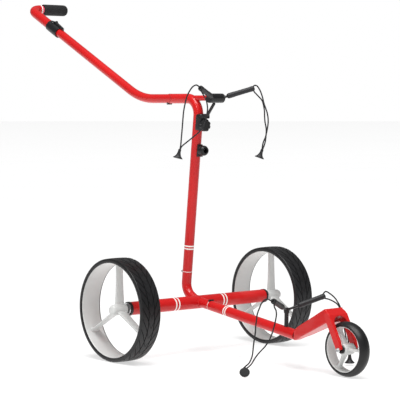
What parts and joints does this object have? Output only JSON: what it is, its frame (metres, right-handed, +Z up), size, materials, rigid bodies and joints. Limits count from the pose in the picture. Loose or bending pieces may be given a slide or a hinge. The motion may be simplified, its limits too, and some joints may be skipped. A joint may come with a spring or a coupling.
{
  "type": "electric golf trolley",
  "caption": "Folding electric golf trolley with a tubular frame, driven rear wheels, a fixed front wheel, bag cradles with elastic cords and a telescoping offset grip.",
  "frame": {"origin": "on the floor, at the middle of the overall box", "axes": "+Z up, -Y is the direction of travel, X across the trolley"},
  "size_m": [0.6444, 1.5354, 1.0397],
  "materials": {
    "red_paint": "gloss",
    "white_rim": "gloss",
    "tyre_rubber": "matte",
    "black_plastic": "satin",
    "black_rubber": "matte",
    "grip_foam": "matte",
    "elastic_cord": "matte",
    "red_plastic": "gloss",
    "steel": "satin",
    "motor_alloy": "satin",
    "board": "matte"
  },
  "bodies": {
    "chassis": {"axle_tube": "red_paint", "mast_foot": "red_paint", "front_stub": "red_paint", "foot_socket": "black_plastic", "front_socket": "black_plastic", "chassis_pins": "steel", "end_cap_r": "black_plastic", "end_cap_l": "black_plastic", "gearboxes": "motor_alloy", "drive_motors": "motor_alloy", "controller_board": "board", "axle_bearings": "steel"},
    "mast": {"mast_tube": "red_paint", "mast_plug": "black_plastic", "top_socket": "black_plastic", "top_pin": "steel", "upper_holder": "black_plastic", "upper_sleeves": "black_rubber", "stay_strut": "black_plastic", "clamp_block": "black_plastic", "socket_saddle": "black_plastic", "power_socket": "black_plastic", "upper_cord_r": "elastic_cord", "upper_cord_l": "elastic_cord", "upper_toggle_r": "black_rubber", "upper_toggle_l": "black_rubber"},
    "knob": {"clamp_knob": "black_plastic"},
    "drawbar": {"drawbar_tube": "red_paint", "drawbar_plug": "black_plastic", "slide_bush": "black_plastic"},
    "handle": {"handle_tube": "red_paint", "handle_ring": "white_rim", "grip": "grip_foam", "clamp_collar": "black_plastic", "clamp_bolt": "steel"},
    "lever": {"clamp_lever": "black_plastic"},
    "dial": {"speed_dial": "red_plastic"},
    "button": {"power_button": "red_plastic"},
    "front_arm": {"front_tube": "red_paint", "front_plug": "black_plastic", "fork_neck": "red_paint", "fork": "red_paint", "lower_holder": "black_plastic", "lower_sleeves": "black_rubber", "lower_cord_r": "elastic_cord", "lower_cord_l": "elastic_cord", "lower_toggle_r": "black_rubber", "lower_toggle_l": "black_rubber", "front_axle_set": "steel"},
    "front_wheel": {"front_rim": "white_rim", "front_tyre": "tyre_rubber", "front_bearings": "steel"},
    "wheel_r": {"rim_r": "white_rim", "tyre_r": "tyre_rubber", "drive_shaft_r": "steel"},
    "release_r": {"release_ring_r": "steel"},
    "wheel_l": {"rim_l": "white_rim", "tyre_l": "tyre_rubber", "drive_shaft_l": "steel"},
    "release_l": {"release_ring_l": "steel"}
  },
  "joints": [
    {"name": "mast_fold", "type": "hinge", "parent": "chassis", "child": "mast", "pos_m": [0, -0.02458, 0.23104], "axis": [-1, 0, 0], "range_deg": [0, 55]},
    {"name": "drawbar_fold", "type": "hinge", "parent": "mast", "child": "drawbar", "pos_m": [0, 0.04275, 0.71925], "axis": [-1, 0, 0], "range_deg": [0, 85]},
    {"name": "front_fold", "type": "hinge", "parent": "chassis", "child": "front_arm", "pos_m": [0, -0.14418, 0.15378], "axis": [-1, 0, 0], "range_deg": [0, 70]},
    {"name": "handle_extend", "type": "slide", "parent": "drawbar", "child": "handle", "axis": [0, 0.8934, 0.4493], "range_m": [-0.03, 0.05]},
    {"name": "clamp_lever_turn", "type": "hinge", "parent": "handle", "child": "lever", "pos_m": [0, 0.6149, 0.97513], "axis": [-1, 0, 0], "range_deg": [0, 100]},
    {"name": "speed_dial_turn", "type": "hinge", "parent": "handle", "child": "dial", "pos_m": [0.044, 0.74975, 1.0217], "axis": [1, 0, 0], "range_deg": [0, 270]},
    {"name": "power_button_press", "type": "slide", "parent": "handle", "child": "button", "axis": [-1, 0, 0], "range_m": [0, 0.002], "stiffness_N_per_m": 300},
    {"name": "holder_knob_turn", "type": "hinge", "parent": "mast", "child": "knob", "pos_m": [0, -0.1125, 0.657], "axis": [0, -1, 0], "range_deg": [0, 360]},
    {"name": "wheel_r_spin", "type": "hinge", "parent": "chassis", "child": "wheel_r", "pos_m": [-0.2885, -0.08725, 0.145], "axis": [1, 0, 0], "continuous": true},
    {"name": "wheel_l_spin", "type": "hinge", "parent": "chassis", "child": "wheel_l", "pos_m": [0.2885, -0.08725, 0.145], "axis": [1, 0, 0], "continuous": true},
    {"name": "front_wheel_spin", "type": "hinge", "parent": "front_arm", "child": "front_wheel", "pos_m": [0, -0.69425, 0.0735], "axis": [1, 0, 0], "continuous": true},
    {"name": "release_r_pull", "type": "slide", "parent": "wheel_r", "child": "release_r", "axis": [-1, 0, 0], "range_m": [0, 0.0025], "stiffness_N_per_m": 200},
    {"name": "release_l_pull", "type": "slide", "parent": "wheel_l", "child": "release_l", "axis": [1, 0, 0], "range_m": [0, 0.0025], "stiffness_N_per_m": 200}
  ]
}
